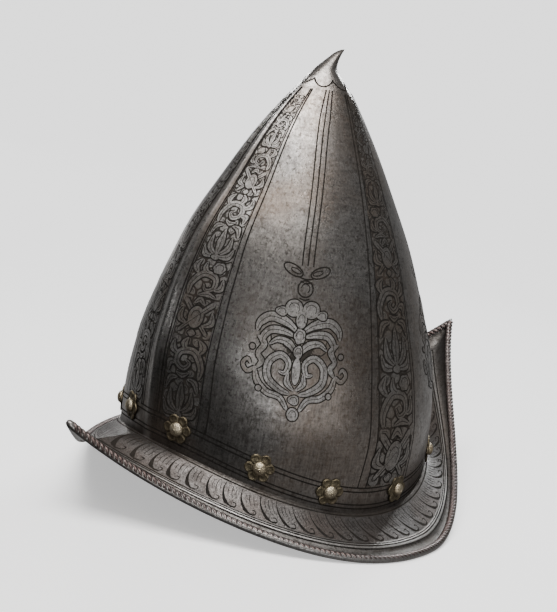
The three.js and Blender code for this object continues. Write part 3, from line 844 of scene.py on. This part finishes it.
class MORION_OT_engraving(bpy.types.Operator):
    """Draw the borders, bands, pendant and cartouche that are etched into the skull and brim."""

    bl_idname = "morion.engraving"
    bl_label = "Engraving"

    def execute(self, context):
        look = settings()[1]
        w = look.line_width / MM
        black = metal_material(
            "etched_line", look.line_colour, shade(look.line_colour, 1.5), (0.02, 0.016, 0.013), 0.7, 0.3,
            bump=0.1, metallic=0.1,
        )
        ground = metal_material(
            "etched_ground", look.ground_colour, shade(look.ground_colour, 1.7), (0.035, 0.026, 0.020), 0.65, 0.8,
            scale=1.4, bump=0.5, metallic=0.2,
        )
        raised = metal_material(
            "etched_steel", (0.070, 0.064, 0.059), (0.268, 0.257, 0.246), (0.150, 0.120, 0.094), 0.36, 0.6,
            scale=1.5, bump=0.35, streaks=0.8,
        )
        lines, etched, shields, brim = Strips(), Strips(), Strips(), Strips()
        for sign in (1, -1):
            for t0, t1 in (BAND_RIDGE, BAND_SIDE):
                self.band_lines(lines, sign, t0, t1, w)
        for rise in BASE_LINES:
            line_on_skull(lines, ROUND, rivet_height(ROUND) + rise, w)
        self.collar(lines, w)
        for t0 in (PENDANT, -PENDANT, math.pi - PENDANT * 0.98, math.pi + PENDANT * 0.98):
            self.pendant(lines, shields, t0, w)
        for v in BRIM_LINES:
            line_on_brim(lines, ROUND, v, w, h=0.22)
        line_on_brim(lines, ROUND, 0.075, w)
        self.leaves(brim, look.leaf_count)
        ride_as(lines.object("engraved_lines", [black]), "steel_plate")
        for sign in (1, -1):
            for rear, (t0, t1) in ((False, BAND_RIDGE), (False, BAND_SIDE), (True, BAND_RIDGE)):
                a, b = sorted(math.pi - sign * t if rear else sign * t for t in (t0, t1))
                self.band(etched, a, b, 3 + rear + (t0 > 1) * 2)
        brim_steel = metal_material(
            "brim_steel", (0.034, 0.031, 0.029), (0.132, 0.124, 0.119), (0.072, 0.056, 0.048), 0.42, 0.9,
            scale=1.6, bump=0.45, streaks=0.9,
        )
        ride_as(etched.object("etched_bands", [raised, black, ground]), "steel_plate")
        ride_as(shields.object("cartouches", [raised, black, ground]), "steel_plate")
        ride_as(brim.object("brim_leaves", [brim_steel, black]), "steel_plate")
        return {"FINISHED"}

    def band_lines(self, lines, sign, t0, t1, w):
        for t, inward in ((t0, 1), (t1, -1)):
            for rear in (False, True):
                if rear and t0 > 1:
                    continue
                low = math.pi - sign * t if rear else sign * t
                step = -sign * inward if rear else sign * inward
                z = np.linspace(float(rivet_height(low)) + BASE_LINES[0], SKULL_HEIGHT * BAND_LINE_TOP, 90)
                line_on_skull(lines, low, z, w)
                reach = np.linalg.norm(skull_point(low, z)[:, :2], axis=-1)
                narrow = (5.6 if (inward < 0) == (t0 < 1) else 2.6) * taper(z)
                line_on_skull(lines, low + step * narrow / np.maximum(reach, 4), z, w * 0.8)

    def band(self, etched, a, b, seed):
        """Blackened ground of one band with its packed ornament."""
        middle = (a + b) / 2
        z0 = float(rivet_height(middle)) + 6.0
        z1 = SKULL_HEIGHT * BAND_TOP
        z = np.linspace(z0, z1, 120)
        across = arc(middle, z)
        half = (b - a) / 2 * across - BAND_MARGIN * taper(z)
        k = np.linspace(-1, 1, 9)
        # one border is wider than the other, so that the ornament stands off the middle
        middle = middle + 1.5 * taper(z) / across * (1 if abs(math.cos(a)) < abs(math.cos(b)) else -1)
        tt = middle[:, None] + half[:, None] / across[:, None] * k
        etched.grid(on_skull(tt, z[:, None] + 0 * tt, 0 * tt + 0.02)[:, ::-1], 2)
        rng = np.random.default_rng(seed)
        etched.place = skull_place(middle, z)
        repeats, low = [], z0 + 0.6
        while low < z1 - 4:
            wide = 2 * float(np.interp(low + 6, z, half))
            if wide < 3.0:
                break
            repeats.append((low, wide))
            low += wide
        seeds = []
        for low, wide in repeats:
            for i in range(5):
                for j in range(4):
                    x = (j - 1.5 + 0.5 * (i % 2) - 0.25) * 0.25 + rng.uniform(-0.04, 0.04)
                    y = 0.1 + 0.2 * i + rng.uniform(-0.03, 0.03)
                    seeds.append((x * wide, low + y * wide, wide * rng.uniform(0.10, 0.15)))
        seeds = [q for q in seeds if q[1] < z1 - 1]
        draw_cells(etched, seeds, SHIELD_LINE, lambda height: float(np.interp(height, z, half)))
        for kind, (low, wide) in enumerate(repeats, seed):
            flip = 1 if (kind // 4) % 2 else -1
            line = min(0.95, 0.18 + 0.030 * wide)
            for i, part in enumerate(MOTIFS[kind % 4]):
                h = 0.13 + 0.012 * i
                if len(part) == 5:
                    x, y, across, high, points = part
                    draw_lobe(etched, x * flip * wide, low + y * wide, across * wide, high * wide, line, h, points)
                else:
                    path = np.array(part[0]) * (flip * wide, wide) + (0, low)
                    draw_stroke(etched, path, np.array(part[1]) * wide, line, h)

    def collar(self, lines, w):
        """Scalloped line under the stalk, between two of the crown's rings."""
        rings = np.stack(crown(ROUND))
        at = COLLAR_RING + 1.5 * np.abs(np.cos(ROUND * 4 + 0.4)) ** 0.8
        i, u = at.astype(int), (at - at.astype(int))[:, None]
        j = np.arange(len(ROUND))
        p = rings[i, j] * (1 - u) + rings[i + 1, j] * u
        down = unit(rings[i + 1, j] - rings[i, j])
        n = unit(np.cross(down, unit(np.gradient(rings[14], axis=0))))
        n = np.where((n * p * (1, 1, 0)).sum(-1, keepdims=True) < 0, -n, n)
        lines.ribbon(p, n, w * 1.1, 0.08)

    def pendant(self, lines, etched, t0, w):
        """Triple cord from the collar with a bow, an orb and a strapwork cartouche."""
        z = np.linspace(CORD_BOTTOM, SKULL_HEIGHT * CORD_TOP, 70)
        reach = np.linalg.norm(skull_point(t0, z)[:, :2], axis=-1)
        for k in (-1, 0, 1):
            shift = k * CORD_SPACING * np.minimum(1, reach / 34) / np.maximum(reach, 4)
            line_on_skull(lines, t0 + shift, z, w * 0.95)
        lines.place = skull_place(t0, BOW_HEIGHT)
        angle = circle(32)
        c, s = np.cos(angle), np.sin(angle)
        for side in (-1, 1):
            lines.add(side * (8.0 + 5.6 * c), 2.2 + 3.0 * s + 1.8 * c, w, closed=True)
            lines.add(side * (6.4 + 2.9 * c), 1.8 + 1.2 * s + 0.9 * c, w * 0.7, closed=True)
        k = np.linspace(-1, 1, 9)
        lines.add(5.0 * k, -1.0 - 1.2 * (1 - k * k), w)
        lines.add(3.4 * k, -3.4 - 0.9 * (1 - k * k), w * 0.8)
        lines.add(4.4 * c, -7.4 + 4.5 * s, w, closed=True)
        lines.add(2.4 * c[:22], -7.2 + 2.6 * s[:22], w * 0.7)
        lines.add(2.9 * k, -12.6 - 0.8 * (1 - k * k), w * 0.9)
        etched.place = skull_place(t0, CARTOUCHE_HEIGHT)
        angle = circle(40)
        wavy = np.cos(angle) * (1 - 0.05 * np.cos(8 * angle))
        etched.disc(0, 6, 17.0 * wavy, 9.5 * np.sin(angle), 2, 0.02)
        for i, (path, widths, vein) in enumerate(STRAPS):
            for side in (-1, 1):
                h = 0.04 + 0.012 * i + 0.006 * (side > 0)
                draw_stroke(etched, np.array(path) * (side, 1), widths, SHIELD_LINE, h, vein)
        for i, (x, y, wide, high, points) in enumerate(LOBES):
            for side in (-1, 1) if x else (1,):
                draw_lobe(etched, x * side, y, wide, high, SHIELD_LINE, 0.15 + 0.012 * i, points)

    def leaves(self, etched, count):
        """Row of tongue leaves on the brim between the crease and the sunken channel."""
        t = np.linspace(0, 2 * math.pi, 2001)
        crease, edge = on_brim(t, 0 * t + 0.1), on_brim(t, 0 * t + 0.62)
        run = run_along((crease + edge) / 2)
        pitch = run[-1] / count

        def place(a, b, h):
            at = np.interp(np.mod(a, run[-1]), run, t)
            return on_brim(at, 0.10 + 0.535 * b / LEAF_LENGTH, h)

        etched.place = place
        etched.add(np.linspace(0, run[-1], 900), np.full(900, 4.9), 9.8, 0, 0.03, across=6)
        rng = np.random.default_rng(11)
        for i in range(count):
            a0 = (i + rng.uniform(-0.06, 0.06)) * pitch
            for path, widths in (
                (((0.02, 0.1), (0.06, 2.8), (0.22, 5.6), (0.50, 8.3), (0.80, 9.5)), (0.4, 0.65, 1.05, 1.6, 0.4)),
                (((0.78, 9.5), (1.02, 8.9), (1.00, 7.4), (0.84, 7.3)), (0.75, 0.65, 0.5, 0.35)),
                (((0.50, 0.8), (0.56, 3.2), (0.72, 5.8)), (0.35, 0.45, 0.25)),
                (((0.30, 1.6), (0.36, 3.6), (0.48, 5.4)), (0.2, 0.35, 0.2)),
                (((0.74, 1.4), (0.80, 3.4), (0.92, 5.4)), (0.2, 0.35, 0.2)),
            ):
                q = smooth_path(path, 5)
                etched.add(a0 + q[:, 0] * pitch, q[:, 1], spread(widths, len(q)), 1, 0.10)


# ---------- turned edge, rosettes and rivets by geometry nodes ----------

def place_copies():
    """Tree that puts a copy of a piece on each guide point, turned by the point's own angles."""
    found = bpy.data.node_groups.get("copies_on_guides")
    if found:
        return found
    tree, n, inp, out = node_tree("copies_on_guides", "GeometryNodeTree", (
        ("INPUT", "Geometry", "Guides"),
        ("INPUT", "Object", "Piece"),
        ("INPUT", "Material", "Finish"),
        ("INPUT", "Float", "Size", 1.0),
        ("OUTPUT", "Geometry", "Copies"),
    ))
    piece = n.add("GeometryNodeObjectInfo", {"Object": inp.outputs["Piece"]})
    turn = n.add("GeometryNodeInputNamedAttribute", {"Name": "turn"}, data_type="FLOAT_VECTOR")
    copies = n.add("GeometryNodeInstanceOnPoints", {
        "Points": inp.outputs["Guides"], "Instance": piece.outputs["Geometry"],
        "Rotation": turn.outputs[0], "Scale": inp.outputs["Size"],
    })
    real = n.add("GeometryNodeRealizeInstances", {0: copies.outputs[0]})
    finish = n.add("GeometryNodeSetMaterial", {"Geometry": real.outputs[0], "Material": inp.outputs["Finish"]})
    n.set(out, {0: finish.outputs[0]})
    return tree


def copy_along(name, points, faces, frames, material):
    """Plain mesh of copies of a piece, one for each frame (place, side, up, out)."""
    piece = link_object(name + "_piece", bare_mesh(name + "_piece", points, faces))
    guide = link_object(name + "_guide", bare_mesh(name + "_guide", np.array([f[0] for f in frames]) + SHIFT))
    turns = [Matrix(np.array(f[1:]).T.tolist()).to_euler() for f in frames]
    layer = guide.data.attributes.new("turn", "FLOAT_VECTOR", "POINT")
    layer.data.foreach_set("vector", np.array(turns, dtype=np.float32).ravel())
    modifier = guide.modifiers.new("copies", "NODES")
    modifier.node_group = place_copies()
    for socket in modifier.node_group.interface.items_tree:
        if socket.name in ("Piece", "Finish"):
            modifier[socket.identifier] = piece if socket.name == "Piece" else material
    graph = bpy.context.evaluated_depsgraph_get()
    mesh = bpy.data.meshes.new_from_object(guide.evaluated_get(graph), depsgraph=graph)
    mesh.name = name
    if not mesh.materials:
        mesh.materials.append(material)
    mesh.polygons.foreach_set("use_smooth", [True] * len(mesh.polygons))
    for extra in (guide, piece):
        bpy.data.objects.remove(extra)
    return link_object(name, mesh)


def rivet_frames():
    places = list(RIVET_PLACES) + [-p for p in reversed(RIVET_PLACES)]
    frames = []
    for place in places:
        t = place * math.pi
        z = float(rivet_height(t))
        out = skull_normal(t, z)
        side = unit(np.cross((0, 0, 1.0), out))
        frames.append((skull_point(t, z), side, np.cross(out, side), out))
    return frames


class MORION_OT_rope_edge(bpy.types.Operator):
    """Lay the twisted strands of the roped edge along the brim."""

    bl_idname = "morion.rope_edge"
    bl_label = "Roped edge"

    def execute(self, context):
        count = settings()[2].rope_strands
        t = np.linspace(0, 2 * math.pi, 4001)
        run = run_along(Brim(t).centre)
        place = np.interp((np.arange(count) + 0.5) / count * run[-1], run, t)
        brim = Brim(place)
        along = unit(Brim(place + 0.004).centre - Brim(place - 0.004).centre)
        up = unit(brim.up - along * (brim.up * along).sum(-1, keepdims=True))
        side = np.cross(up, along)
        pitch = run[-1] / count
        rows, around = 9, 7
        ring = circle(around)
        twist = np.radians(np.linspace(-70, 185, rows))
        k = np.linspace(-1, 1, rows)
        radius = EDGE_RADIUS - 0.42
        points = []
        for i in range(rows):
            thick = 0.5 * pitch * math.sqrt(max(0.08, 1 - abs(k[i]) ** 4))
            lift = 0.40 * math.sqrt(max(0.0, 1 - abs(k[i]) ** 6))
            r = radius - 0.25 + (lift + 0.25) * np.maximum(0, np.cos(ring))
            x = k[i] * pitch * 1.15 + thick * np.sin(ring)
            points.append(np.stack((x, r * np.cos(twist[i]), r * np.sin(twist[i])), -1))
        worn = metal_material(
            "roped_steel", (0.038, 0.029, 0.027), (0.175, 0.150, 0.144), (0.082, 0.052, 0.046), 0.40, 0.9,
            scale=1.6, bump=0.5,
        )
        frames = list(zip(brim.centre, along, -side, up))
        obj = copy_along("roped_edge", np.concatenate(points), capped(around, rows), frames, worn)
        data = obj.data
        co = np.empty(len(data.vertices) * 3, np.float32)
        data.vertices.foreach_get("co", co)
        co = co.reshape(-1, 3)
        margin = 0.00001
        co = np.clip(co, np.array(CAD_BOX[0]) + margin, np.array(CAD_BOX[1]) - margin)
        data.vertices.foreach_set("co", co.astype(np.float32).ravel())
        ride_as(obj, "steel_plate")
        return {"FINISHED"}


class MORION_OT_rosettes(bpy.types.Operator):
    """Make the brass rosettes with their dished petals."""

    bl_idname = "morion.rosettes"
    bl_label = "Rosettes"

    def execute(self, context):
        look = settings()[2]
        around = 72
        a = circle(around)
        petal = 0.5 + 0.5 * np.cos(6 * a)
        outer = 6.9 + (ROSETTE_RADIUS - 6.9) * petal**0.55
        bore = SHANK_RADIUS + GAP
        sag = 0.0042

        def ring(share, height):
            r = bore + (outer - bore) * share
            return hoop(a, r, height - sag * r * r)

        low = GAP + 0.05
        high = low + ROSETTE_THICKNESS * 0.8
        rows = [ring(0, low), ring(0, high)]
        for share in np.linspace(0.12, 0.97, 11):
            beyond = min(1, max(0, (share - 0.35) / 0.25))
            cup = 0.45 * bump(share, 0.40, 0.10)
            rim = 0.62 * bump(share, 0.92, 0.08) * np.clip(petal * 1.6, 0, 1)
            side = 0.50 * bump(petal, 0.20, 0.12) * beyond
            groove = 0.30 * bump(petal, 0, 0.07) * beyond
            rows.append(ring(share, high + np.maximum(np.maximum(cup, rim), side) - groove))
        rows += [ring(1.0, high - 0.05), ring(1.0, low), ring(0.5, low)]
        brass = metal_material(
            "old_brass", shade(look.brass, 0.32), look.brass, (0.085, 0.066, 0.045), 0.46, 0.8, scale=2.2, bump=0.4,
        )
        obj = copy_along("rosettes", np.concatenate(rows), quads(around, len(rows), True), rivet_frames(), brass)
        ride_as(obj, "brass_rosette", *[n for n in NODES if n.startswith("rosette_")])
        return {"FINISHED"}


class MORION_OT_rivets(bpy.types.Operator):
    """Make the domed rivets with their shanks and clinched ends."""

    bl_idname = "morion.rivets"
    bl_label = "Rivets"

    def execute(self, context):
        look = settings()[2]
        around = 28
        a = circle(around)
        seat = 2 * GAP + ROSETTE_THICKNESS
        under = -WALL - GAP
        profile = [
            (HEAD_RADIUS * math.sin(x), seat + 0.25 + (HEAD_HEIGHT - 0.25) * math.cos(x))
            for x in np.linspace(0.12, math.pi / 2, 9)
        ]
        profile += [
            (HEAD_RADIUS, seat + 0.05), (HEAD_RADIUS * 0.96, seat + 0.02), (SHANK_RADIUS, seat + 0.02),
            (SHANK_RADIUS, under), (CLINCH_RADIUS, under - 0.25),
            (CLINCH_RADIUS * 0.92, under - CLINCH_HEIGHT * 0.7), (CLINCH_RADIUS * 0.6, under - CLINCH_HEIGHT),
        ]
        rows = [hoop(a, r, h) for r, h in profile]
        worn = metal_material(
            "worn_rivet", shade(look.head, 0.30), look.head, (0.26, 0.20, 0.12), 0.34, 1.6, scale=3.0, bump=0.9,
        )
        obj = copy_along("rivets", np.concatenate(rows), capped(around, len(rows)), rivet_frames(), worn)
        ride_as(obj, "rivet_brass", *[n for n in NODES if n.startswith("rivet_")])
        return {"FINISHED"}


# ---------- stage ----------

class MORION_OT_stage(bpy.types.Operator):
    """Set the pale floor, the soft lights and the camera."""

    bl_idname = "morion.stage"
    bl_label = "Stage"

    def execute(self, context):
        self.floor()
        self.lights()
        self.camera()
        return {"FINISHED"}

    def floor(self):
        """Pale floor that curves up and glows evenly far away, so that no horizon shows."""
        look = settings()[2]
        around = 96
        a = circle(around)
        flat, bend, drop = 2400, 1600, 0.2
        profile = [(r, 0.0) for r in (300, 800, 1500, flat)]
        profile += [
            (flat + bend * math.sin(x), bend * (1 - math.cos(x))) for x in np.linspace(0.15, math.pi / 2, 12)
        ]
        profile.append((flat + bend, flat + bend))
        points = np.concatenate([[(0, 0, -drop)]] + [hoop(a, r, h - drop) for r, h in profile])
        mesh = bare_mesh("floor", points, fan(0, 1, around) + quads(around, len(profile), first=1))
        mat = bpy.data.materials.new("pale_floor")
        mat.use_nodes = True
        shader = mat.node_tree.nodes["Principled BSDF"]
        n = Nodes(mat.node_tree)
        place = n.add("ShaderNodeTexCoord").outputs["Object"]
        away = n.add("ShaderNodeVectorMath", {0: place}, operation="LENGTH").outputs["Value"]
        near, far, glow, far_glow = 0.30, 0.95, 0.70, 1.75
        fade = n.ramp(away, ((near, 0.0), (far, 1.0)))
        n.set(shader, {
            "Base Color": n.mix(fade, look.floor, (0, 0, 0)),
            "Roughness": 0.9,
            "Emission Color": look.floor,
            "Emission Strength": n.math("ADD", n.math("MULTIPLY", fade, far_glow), glow),
        })
        mesh.materials.append(mat)
        obj = link_object("floor", mesh)
        obj.visible_glossy = False
        obj.visible_diffuse = False

    def lights(self):
        """World that is dark ahead of the helmet, and the soft lights."""
        world = bpy.data.worlds.new("studio")
        bpy.context.scene.world = world
        world.use_nodes = True
        n = Nodes(world.node_tree)
        ray = n.add("ShaderNodeTexCoord").outputs["Generated"]
        behind = n.add("ShaderNodeVectorMath", {0: ray, 1: (0.90, -0.10, -0.42)}, operation="DOT_PRODUCT")
        sky = n.ramp(behind.outputs["Value"], ((0.10, 0.25), (0.45, 0.18), (0.74, 0.012), (1.0, 0.003)))
        height = n.add("ShaderNodeSeparateXYZ", {0: ray}).outputs["Z"]
        height = n.math("ADD", n.math("MULTIPLY", height, 0.5), 0.5)
        low = n.ramp(height, ((0.40, 1.0), (0.54, 0.42)))
        n.set(world.node_tree.nodes["Background"], {0: sky, 1: n.math("MULTIPLY", low, 2.0)})
        middle = Vector((0, 0, 0.15))
        for name, azimuth, rise, away, wide, high, power, tint in (
            ("overhead", 30, 71, 1.5, 1.15, 0.85, 50, (1, 0.99, 0.98)),
            ("window", 50, 42, 1.6, 0.85, 0.20, 2.6, (1, 0.94, 0.86)),
            ("lamp", 54, 4, 1.7, 1.05, 0.07, 6.6, (0.98, 0.99, 1)),
            ("rim", -158, 28, 1.5, 0.30, 0.30, 16, (0.94, 0.98, 1)),
            ("far", -110, -2, 1.9, 0.4, 0.3, 0.8, (1, 1, 1)),
            ("crest", -117, 14, 1.9, 0.3, 0.2, 6.0, (1, 1, 1)),
            ("left", 2, 4, 1.8, 0.40, 0.10, 1.1, (0.98, 0.99, 1)),
            ("side", 84, 5, 1.9, 0.50, 0.24, 1.8, (0.98, 0.99, 1)),
        ):
            a, e = math.radians(azimuth), math.radians(rise)
            ahead = Vector((math.cos(a) * math.cos(e), math.sin(a) * math.cos(e), math.sin(e)))
            data = bpy.data.lights.new(name, "AREA")
            data.shape = "RECTANGLE"
            data.size, data.size_y = wide, high
            data.energy, data.color = power, tint
            obj = link_object(name, data)
            obj.location = middle + ahead * away
            obj.rotation_euler = (-ahead).to_track_quat("-Z", "Y").to_euler()

    def camera(self):
        """Camera at the photograph's viewing angle, rolled as the photograph is."""
        # lengths in millimetres along the picture's own axes, which are the unit vectors right, up and back
        across, rise, distance, frame_height = 3.348, 84.153, 1000 / 1.306, 612 / 1.531
        right, up = Vector((-0.703, 0.690, 0.170)), Vector((-0.026, -0.264, 0.964))
        back = right.cross(up).normalized()
        right = up.cross(back).normalized()
        up = back.cross(right).normalized()
        turn = Matrix((right, up, back)).transposed()
        place = turn @ Vector((across, rise, distance)) + Vector(SHIFT.tolist())
        data = bpy.data.cameras.new("camera")
        data.sensor_fit = "VERTICAL"
        data.sensor_height = 36
        data.lens = data.sensor_height * distance / frame_height
        data.clip_start = 0.05
        data.clip_end = 30
        obj = link_object("camera", data)
        obj.matrix_world = Matrix.LocRotScale(place * MM, turn.to_quaternion(), None)
        bpy.context.scene.camera = obj


class MORION_PT_panel(bpy.types.Panel):
    """Lists the helmet's pieces with their sizes and colours."""

    bl_label = "Morion"
    bl_idname = "MORION_PT_panel"
    bl_space_type = "VIEW_3D"
    bl_region_type = "UI"
    bl_category = "Morion"

    def draw(self, context):
        for operator in OPERATORS:
            self.layout.operator(operator.bl_idname)
        for group in settings():
            box = self.layout.box()
            for key in group.__annotations__:
                box.prop(group, key)


GROUPS = (MorionPlateSettings, MorionOrnamentSettings, MorionTrimSettings)
OPERATORS = (
    MORION_OT_plate, MORION_OT_engraving, MORION_OT_rope_edge, MORION_OT_rosettes, MORION_OT_rivets, MORION_OT_stage,
)


def register():
    for cls in (*GROUPS, *OPERATORS, MORION_PT_panel):
        bpy.utils.register_class(cls)
    bpy.types.Scene.morion_plate = PointerProperty(type=MorionPlateSettings)
    bpy.types.Scene.morion_ornament = PointerProperty(type=MorionOrnamentSettings)
    bpy.types.Scene.morion_trim = PointerProperty(type=MorionTrimSettings)


def unregister():
    del bpy.types.Scene.morion_trim
    del bpy.types.Scene.morion_ornament
    del bpy.types.Scene.morion_plate
    for cls in reversed((*GROUPS, *OPERATORS, MORION_PT_panel)):
        bpy.utils.unregister_class(cls)


def main():
    register()
    bpy.ops.morion.plate()
    bpy.ops.morion.engraving()
    bpy.ops.morion.rope_edge()
    bpy.ops.morion.rosettes()
    bpy.ops.morion.rivets()
    bpy.ops.morion.stage()


if __name__ == "__main__":
    main()
